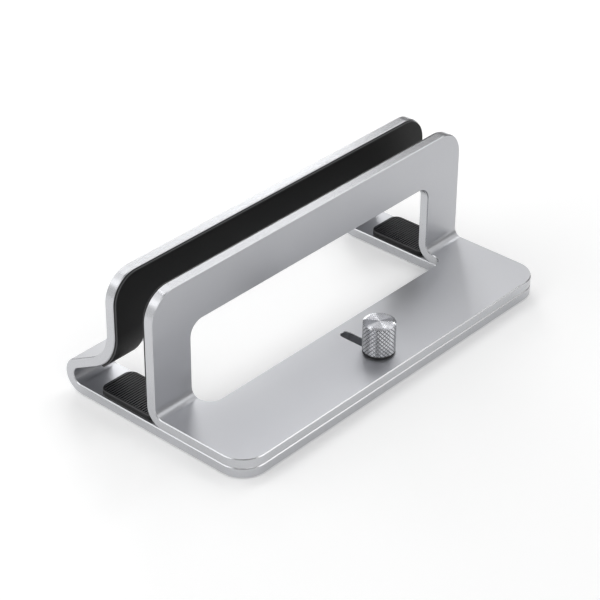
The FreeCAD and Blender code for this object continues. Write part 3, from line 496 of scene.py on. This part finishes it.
# Front wall pad: the same silicone sheet, flat, glued to the inner face of the
# front wall from just above its bend.
PAD_FOOT = 13.9
PAD_FOOT_CORNER = 2
front_back = WALL_BACK + PAD_GLUE
front_middle = (0, front_back, (PAD_TOP + PAD_FOOT) / 2)
front_pad = new_plane("front_pad", 2 * PAD_SIDE, PAD_TOP - PAD_FOOT, front_middle, 90)
paint(front_pad, "black_silicone", silicone, edge_painted_highlight)
pick("VERT", lambda x, y, z, point: z > PAD_TOP - 0.01)
bevel(PAD_CORNER, 20, "VERTICES")
pick("VERT", lambda x, y, z, point: z < PAD_FOOT + 0.01)
bevel(PAD_FOOT_CORNER, 8, "VERTICES")
bpy.ops.mesh.select_all(action="SELECT")
carry(0, PAD_THICKNESS, 0)
close_piece(front_pad)
cut_pad_window(front_pad, 45, 55)
round_front(front_pad, lambda x, y, z, face: abs(y - front_back - PAD_THICKNESS) < 0.01)
smooth(front_pad)
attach(front_pad, "slider")
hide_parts("front_wall_pad")

# Rest pads: moulded silicone, 2 mm thick, glued to the legs of the base plate. Fine
# ribs across them, 1.2 mm apart, grip the laptop. The rib tops are smoother and painted
# a greyer tone, which is painted sheen.
REST_X = 80
REST_WIDTH = 17.4
REST_FRONT = 47.58
REST_LENGTH = 29.7
REST_CORNER = 4
REST_TOP = SHEET + 2
REST_EDGE = 0.3
RIB_PITCH = 1.2
RIB_FOOT = 0.72
RIB_HEIGHT = 0.6
RIB_ROOT = 0.2
RIB_TAPER = 0.7
RIB_MARGIN = 0.75
RIB_OVERLAP = 0.1
rest_middle = REST_FRONT + REST_LENGTH / 2
rib_top_painted_sheen = grained("silicone_rib_top_painted_sheen", ("#2D2D32", "#333338"), 0.3, (0.4, 0.46), 0.02, RUBBER)


def rest_outline(name, margin, x, low, high):
    """Block with the rounded outline of a rest pad, drawn in by a margin."""
    block = new_plane(
        name, REST_WIDTH - 2 * margin, REST_LENGTH - 2 * margin, (x, rest_middle, low)
    )
    pick("VERT", lambda *place: True)
    bevel(REST_CORNER - margin, 12, "VERTICES")
    bpy.ops.mesh.select_all(action="SELECT")
    carry(0, 0, high - low)
    return close_piece(block)


for name, node, side in (("rest_left", "left_rest_pad", -1), ("rest_right", "right_rest_pad", 1)):
    rest = rest_outline(name, 0, side * REST_X, SHEET, REST_TOP)
    paint(rest, "black_silicone", silicone, edge_painted_highlight)
    bpy.context.view_layer.objects.active = rest
    bpy.ops.object.mode_set(mode="EDIT")
    pick("FACE", lambda x, y, z, face: z > REST_TOP - 0.01)
    bpy.ops.mesh.region_to_loop()
    # The rounded top edge takes the second finish, a lighter grey that is a painted highlight.
    bevel(REST_EDGE, 3, finish=1)
    close_piece(rest)
    rib_floor = REST_TOP - RIB_HEIGHT
    cut(rest, rest_outline("tool", RIB_MARGIN, side * REST_X, rib_floor, REST_TOP + 1))
    ribs = round((REST_LENGTH - 2 * RIB_MARGIN) / RIB_PITCH)
    first = rest_middle - (ribs - 1) / 2 * RIB_PITCH
    rib = new_plane("rib", REST_WIDTH, RIB_FOOT, (side * REST_X, first, rib_floor - RIB_ROOT))
    rib.data.materials.append(silicone)
    rib.data.materials.append(rib_top_painted_sheen)
    carry(0, 0, RIB_HEIGHT + RIB_ROOT)
    # The rib's top takes the greyer tone, a painted sheen.
    rib.active_material_index = 1
    bpy.ops.object.material_slot_assign()
    rib_top = at(side * REST_X, first, REST_TOP)
    bpy.ops.transform.resize(value=(1, RIB_TAPER, 1), center_override=rib_top)
    close_piece(rib)
    apply(
        rib, "ARRAY", count=ribs, use_relative_offset=False, use_constant_offset=True,
        constant_offset_displace=(0, RIB_PITCH * MM, 0),
    )
    cut(
        rib, rest_outline("tool", RIB_MARGIN - RIB_OVERLAP, side * REST_X, SHEET, REST_TOP + 1),
        operation="INTERSECT",
    )
    cut(rest, rib, operation="UNION", carried=True)
    smooth(rest)
    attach(rest, "base")
    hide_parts(node)

# Clamp screw: M4 x 16 countersunk steel screw with a hexagon socket, zinc plated.
# It comes from below through the base plate and the slot into the knob.
HEAD = 8
SHANK = 4
SCREW_FOOT = 0.2
SOCKET = 2.5
socket_side = SOCKET / 2 / math.cos(math.pi / 6)
screw = turn_piece("screw", 0, SCREW_Y, [
    (HEAD / 2 - 0.08, SCREW_FOOT),
    (HEAD / 2, SCREW_FOOT + 0.08),
    (HEAD / 2, SCREW_FOOT + 0.2),
    (SHANK / 2, SCREW_FOOT + 2.2),
    (SHANK / 2, SCREW_FOOT + 15.6),
    (SHANK / 2 - 0.4, SCREW_FOOT + 16),
], 64)
socket = turn_piece("tool", 0, SCREW_Y, [
    (socket_side + 0.2, -0.01),
    (socket_side, SCREW_FOOT + 0.15),
    (socket_side, SCREW_FOOT + 1.6),
    (0.1, SCREW_FOOT + 2.1),
], 6)
cut(screw, socket)
smooth(screw)

# Zinc-plated steel: a bright, slightly bluish grey with the fine mottling of the
# barrel it was plated in.
zinc = grained("zinc_plated_steel", ("#A2A6AA", "#B9BBBD"), 0.5, (0.24, 0.38), 0.01, METAL)
paint(screw, "steel", zinc)
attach(screw, "base")
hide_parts("clamp_screw")

# Guide pins: 4 mm steel pins pressed in the base plate. They stand in the blind
# grooves of the sliding bracket and keep it square.
PIN_SIDE = 2
PIN_FOOT = 0.3
PIN_TOP = SHEET + 2
for name, node, side in (("pin_left", "left_guide_pin", -1), ("pin_right", "right_guide_pin", 1)):
    pin = turn_piece(name, side * PIN_X, SCREW_Y, [
        (PIN_SIDE - 0.15, PIN_FOOT),
        (PIN_SIDE, PIN_FOOT + 0.15),
        (PIN_SIDE, PIN_TOP - 0.3),
        (PIN_SIDE - 0.3, PIN_TOP),
    ], 48)
    smooth(pin)
    paint(pin, "steel", zinc)
    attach(pin, "base")
    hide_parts(node)

# Washer: a thin turned nylon ring that lets the knob turn on the top plate
# without marking it.
WASHER_BORE = 2.3
WASHER_SIDE = 6.5
WASHER_TOP = PLATE_TOP + 1
washer = turn_piece("washer", 0, SCREW_Y, [
    (WASHER_BORE, PLATE_TOP),
    (WASHER_SIDE - 0.15, PLATE_TOP),
    (WASHER_SIDE - 0.04, PLATE_TOP + 0.04),
    (WASHER_SIDE, PLATE_TOP + 0.15),
    (WASHER_SIDE, WASHER_TOP - 0.15),
    (WASHER_SIDE - 0.04, WASHER_TOP - 0.04),
    (WASHER_SIDE - 0.15, WASHER_TOP),
    (WASHER_BORE, WASHER_TOP),
], 96, True)
smooth(washer, 40)

# Black nylon: turned from bar, a satin black with faint tool marks round it. The
# marks, 0.05 mm apart, are drawn 0.2 mm apart.
nylon, tree, place = new_material("turned_black_nylon")
marks = add_node(
    tree, "TexWave", {"bands_direction": "Z", "Scale": math.tau / 20 / (0.2 * MM), "Distortion": 0.4},
    {"Vector": place},
).outputs["Fac"]
relief = add_node(tree, "Bump", {"Strength": 0.15, "Distance": 0.01 * MM}, {"Height": marks})
dull = add_node(tree, "MapRange", {"To Min": 0.34, "To Max": 0.44}, {"Value": marks})
plastic = add_node(
    tree, "BsdfPrincipled", {"Base Color": colour("#111112"), "IOR": 1.53},
    {"Roughness": dull.outputs["Result"], "Normal": relief.outputs["Normal"]},
)
add_node(tree, "OutputMaterial", {}, {"Surface": plastic.outputs["BSDF"]})

paint(washer, "black_nylon", nylon)
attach(washer, "washer")
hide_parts("knob_washer")

# Clamp knob: turned from aluminium bar, with a blind thread. Two knurling wheels
# rolled flat-topped diamonds in its flank before the top was faced and bevelled.
KNOB_SIDE = 6.6
KNOB_HEIGHT = 12.9
KNOB_BORE = 2.1
BORE_DEPTH = 8.5
AXIS = 0.02
BEVEL_WIDTH = 1.25
BEVEL_HEIGHT = 0.6
KNURL_DEPTH = 0.22
KNURL_FLAT = 0.62
KNURL_STARTS = 25
KNURL_PITCH = 1.8
KNURL_ROWS = 18
knob = turn_piece("knob", 0, SCREW_Y, [
    (KNOB_BORE, WASHER_TOP),
    (KNOB_SIDE - 0.25, WASHER_TOP),
    (KNOB_SIDE, WASHER_TOP + 0.25),
    (KNOB_SIDE, WASHER_TOP + KNOB_HEIGHT - BEVEL_HEIGHT),
    (KNOB_SIDE - BEVEL_WIDTH + 0.03, WASHER_TOP + KNOB_HEIGHT - 0.014),
    (KNOB_SIDE - BEVEL_WIDTH - 0.06, WASHER_TOP + KNOB_HEIGHT),
    (AXIS, WASHER_TOP + KNOB_HEIGHT),
    (AXIS, WASHER_TOP + BORE_DEPTH),
    (KNOB_BORE, WASHER_TOP + BORE_DEPTH),
], 192, True)
bpy.ops.object.select_all(action="DESELECT")
bar_foot = WASHER_TOP - KNURL_PITCH
bpy.ops.mesh.primitive_circle_add(
    vertices=2 * KNURL_STARTS,
    radius=(KNOB_SIDE - KNURL_DEPTH) * MM,
    fill_type="NGON",
    location=at(0, SCREW_Y, bar_foot),
    rotation=(0, 0, math.radians(-360 / KNURL_STARTS / 4)),
)
bar = bpy.context.object
bpy.ops.object.transform_apply(location=True, rotation=True, scale=True)
bpy.ops.object.mode_set(mode="EDIT")
bpy.ops.mesh.select_all(action="SELECT")
for row in range(KNURL_ROWS):
    carry(0, 0, KNURL_PITCH / 2)


def on_point(x, y, z, vertex):
    """Whether a crossing of the net on the bar is the point of a diamond."""
    row = round((z - bar_foot) / KNURL_PITCH * 2)
    column = round(math.atan2(y - SCREW_Y, x) / math.tau * 2 * KNURL_STARTS)
    return (row + column) % 2 == 1 and 0 < row < KNURL_ROWS


pick("VERT", on_point)
grow = 1 + KNURL_DEPTH / (1 - KNURL_FLAT) / (KNOB_SIDE - KNURL_DEPTH)
bpy.ops.transform.resize(value=(grow, grow, 1), center_override=at(0, SCREW_Y, bar_foot))
pick("FACE", lambda x, y, z, face: len(face.verts) == 4)
bpy.ops.mesh.quads_convert_to_tris(quad_method="SHORTEST_DIAGONAL")
close_piece(bar)
cut(knob, bar, operation="INTERSECT")
smooth(knob, 20)

# Turned aluminium, anodised silver. The rolled flank is a satin silver, painted darker
# down into the grooves of its diamonds as painted shade and lighter on their points as
# a painted highlight. The top is faced with a lathe tool, whose marks run round it.
# They draw every lamp out into a ray from the middle, which glints again where it
# crosses the bevel. The marks, 0.1 mm apart, are drawn 0.3 mm apart and only in tone.
knurled_painted_light, tree, place = new_material("knurled_aluminium_painted_light")
from_axis = add_node(tree, "VectorMath", {"operation": "SUBTRACT", 1: at(0, SCREW_Y, 0)}, {0: place})
level = add_node(
    tree, "VectorMath", {"operation": "MULTIPLY", 1: (1, 1, 0)}, {0: from_axis.outputs["Vector"]}
)
radius = add_node(tree, "VectorMath", {"operation": "LENGTH"}, {0: level.outputs["Vector"]})
# The tone runs from painted shade deep in the grooves to a painted highlight on the points.
groove_shade_to_point_highlight = add_node(
    tree, "MapRange",
    {"From Min": (KNOB_SIDE - KNURL_DEPTH) * MM, "From Max": (KNOB_SIDE - 0.03) * MM},
    {"Value": radius.outputs["Value"]},
)
tone = add_node(
    tree, "Mix", {"data_type": "RGBA", 6: colour("#88898E"), 7: colour("#CCCDD0")},
    {0: groove_shade_to_point_highlight.outputs["Result"]},
)
rolled = add_node(
    tree, "BsdfPrincipled", {"Metallic": 1.0, "Roughness": 0.22}, {"Base Color": tone.outputs[2]}
)
add_node(tree, "OutputMaterial", {}, {"Surface": rolled.outputs["BSDF"]})
spun, tree, place = new_material("spun_aluminium")
from_axis = add_node(tree, "VectorMath", {"operation": "SUBTRACT", 1: at(0, SCREW_Y, 0)}, {0: place})
rings = add_node(
    tree, "TexWave",
    {
        "wave_type": "RINGS",
        "rings_direction": "Z",
        "Scale": math.tau / 20 / (0.3 * MM),
        "Distortion": 0.6,
    },
    {"Vector": from_axis.outputs["Vector"]},
).outputs["Fac"]
tone = add_node(
    tree, "Mix", {"data_type": "RGBA", 6: colour("#BEBFC3"), 7: colour("#C6C7CB")}, {0: rings}
)
round_axis = add_node(tree, "Tangent", {"direction_type": "RADIAL", "axis": "Z"})
faced = add_node(
    tree, "BsdfPrincipled",
    {"Metallic": 1.0, "Roughness": 0.26, "Anisotropic": 1.0, "Anisotropic Rotation": 0.25},
    {"Base Color": tone.outputs[2], "Tangent": round_axis.outputs["Tangent"]},
)
add_node(tree, "OutputMaterial", {}, {"Surface": faced.outputs["BSDF"]})


def finish_faces(piece, number, test):
    """Give the faces that pass the test another of the piece's finishes."""
    bpy.context.view_layer.objects.active = piece
    bpy.ops.object.mode_set(mode="EDIT")
    pick("FACE", test)
    piece.active_material_index = number
    bpy.ops.object.material_slot_assign()
    bpy.ops.object.mode_set(mode="OBJECT")


paint(knob, "turned_aluminium", knurled_painted_light, spun)
knob_top = WASHER_TOP + KNOB_HEIGHT
finish_faces(knob, 1, lambda x, y, z, face: z > knob_top - BEVEL_HEIGHT)
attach(knob, "knob")
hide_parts("clamp_knob")

# Feet: thin silicone pads glued in their recesses under the base plate.
FOOT_BOTTOM = -0.5
feet = (
    ("foot_front_left", "front_left_foot", FRONT_FEET[0], (FOOT_REACH, 0)),
    ("foot_front_right", "front_right_foot", FRONT_FEET[1], (FOOT_REACH, 0)),
    ("foot_rear_left", "rear_left_foot", REAR_FEET[0], (0, FOOT_REACH)),
    ("foot_rear_right", "rear_right_foot", REAR_FEET[1], (0, FOOT_REACH)),
)
for name, node, place, long_way in feet:
    foot = slot_tool(*place, long_way, FOOT_WIDTH, FOOT_BOTTOM, FOOT_RECESS)
    foot.name = foot.data.name = name
    bpy.context.view_layer.objects.active = foot
    bpy.ops.object.mode_set(mode="EDIT")
    pick("FACE", lambda x, y, z, face: z < FOOT_BOTTOM + 0.01)
    bpy.ops.mesh.region_to_loop()
    bevel(0.2, 3)
    close_piece(foot)
    smooth(foot)
    paint(foot, "black_silicone", silicone)
    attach(foot, "base")
    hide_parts(node)

# Studio: a white floor that keeps the stand's shadow, soft boxes and a pale room. The
# floor is clear from below, so that the underside can be looked at. The soft boxes'
# places and strengths are matched to the tones of the photograph.
bpy.ops.object.select_all(action="DESELECT")
bpy.ops.mesh.primitive_plane_add(size=6, location=(0, 0, 0))
floor = bpy.context.object
floor.name = "floor"
white, tree, _ = new_material("white_floor")
matt = add_node(tree, "BsdfDiffuse", {"Color": colour("#FAFAFA")})
shown = add_node(tree, "LightPath")
seen = add_node(
    tree, "Math", {"operation": "MAXIMUM"},
    {0: shown.outputs["Is Camera Ray"], 1: shown.outputs["Is Glossy Ray"]},
)
seen = add_node(
    tree, "Math", {"operation": "MAXIMUM"},
    {0: seen.outputs["Value"], 1: shown.outputs["Is Transmission Ray"]},
)
lift = add_node(tree, "Emission", {"Color": (1, 1, 1, 1)})
share = add_node(tree, "Math", {"operation": "MULTIPLY", 1: 0.16}, {0: seen.outputs["Value"]})
tree.links.new(share.outputs["Value"], lift.inputs["Strength"])
both = add_node(tree, "AddShader", {}, {0: matt.outputs["BSDF"], 1: lift.outputs["Emission"]})
facing = add_node(tree, "NewGeometry")
clear = add_node(tree, "BsdfTransparent")
one_sided = add_node(
    tree, "MixShader", {},
    {0: facing.outputs["Backfacing"], 1: both.outputs["Shader"], 2: clear.outputs["BSDF"]},
)
add_node(tree, "OutputMaterial", {}, {"Surface": one_sided.outputs["Shader"]})
floor.data.materials.append(white)

world = bpy.data.worlds.new("room")
bpy.context.scene.world = world
world.use_nodes = True
world.node_tree.nodes["Background"].inputs["Color"].default_value = (1, 1, 1, 1)
world.node_tree.nodes["Background"].inputs["Strength"].default_value = 0.25


def softbox(name, azimuth, elevation, width, height, strength, distance):
    """Rectangular lamp that faces the stand, in metres and degrees. Azimuth 0 is in
    front and 90 to the right; strength is the radiance of its face."""
    a, e = math.radians(azimuth), math.radians(elevation)
    way = Vector((math.sin(a) * math.cos(e), -math.cos(a) * math.cos(e), math.sin(e)))
    light = bpy.data.lights.new(name, "AREA")
    light.shape = "RECTANGLE"
    light.size, light.size_y = width, height
    light.energy = strength * math.pi * width * height
    lamp = bpy.data.objects.new(name, light)
    bpy.context.collection.objects.link(lamp)
    lamp.visible_camera = False
    lamp.location = way * distance
    lamp.rotation_euler = way.to_track_quat("Z", "Y").to_euler()


softbox("rear_strip", 140, 14, 0.38, 0.59, 5.21, 1.1)
softbox("rear_right_high", 130, 52, 1.35, 0.55, 1.29, 1.1)
softbox("front_right_high", 40, 44, 0.84, 0.59, 1.3, 1.1)
softbox("left_far", 230, 21, 1.72, 0.91, 0.582, 1.1)
softbox("left_near", 290, 21, 0.78, 0.41, 0.4, 0.5)
softbox("rear_left_high", 230, 44, 0.61, 0.27, 1, 0.5)
softbox("ray_right", 103.8, 34, 0.13, 0.12, 9, 1.1)
softbox("ray_high", 116, 52, 0.08, 0.12, 8, 1.1)
softbox("glint_left", 186, 63, 0.10, 0.17, 9, 1.1)
softbox("front_left", 340, 25, 0.65, 0.71, 1.2, 1.1)

# Camera: the photograph's viewing angle, solved from the stand's straight edges. It
# looks at a point given in millimetres on the stand, from a distance in metres.
AIM = (-8.56, 46.05, 21.42)
DISTANCE = 0.818346
camera = bpy.data.objects.new("camera", bpy.data.cameras.new("camera"))
bpy.context.collection.objects.link(camera)
azimuth, elevation, roll = (math.radians(angle) for angle in (-48.497, 32.573, 0.423))
back = Vector((
    math.sin(azimuth) * math.cos(elevation),
    -math.cos(azimuth) * math.cos(elevation),
    math.sin(elevation),
))
level = Vector((math.cos(azimuth), math.sin(azimuth), 0))
up = back.cross(level)
right = level * math.cos(roll) + up * math.sin(roll)
up = up * math.cos(roll) - level * math.sin(roll)
camera.matrix_world = Matrix((right, up, back)).transposed().to_4x4()
camera.location = at(*AIM) + back * DISTANCE
camera.data.sensor_width = 36
camera.data.lens = 125.087
camera.data.clip_start, camera.data.clip_end = 0.05, 20
bpy.context.scene.camera = camera
bpy.context.scene.view_settings.view_transform = "Standard"
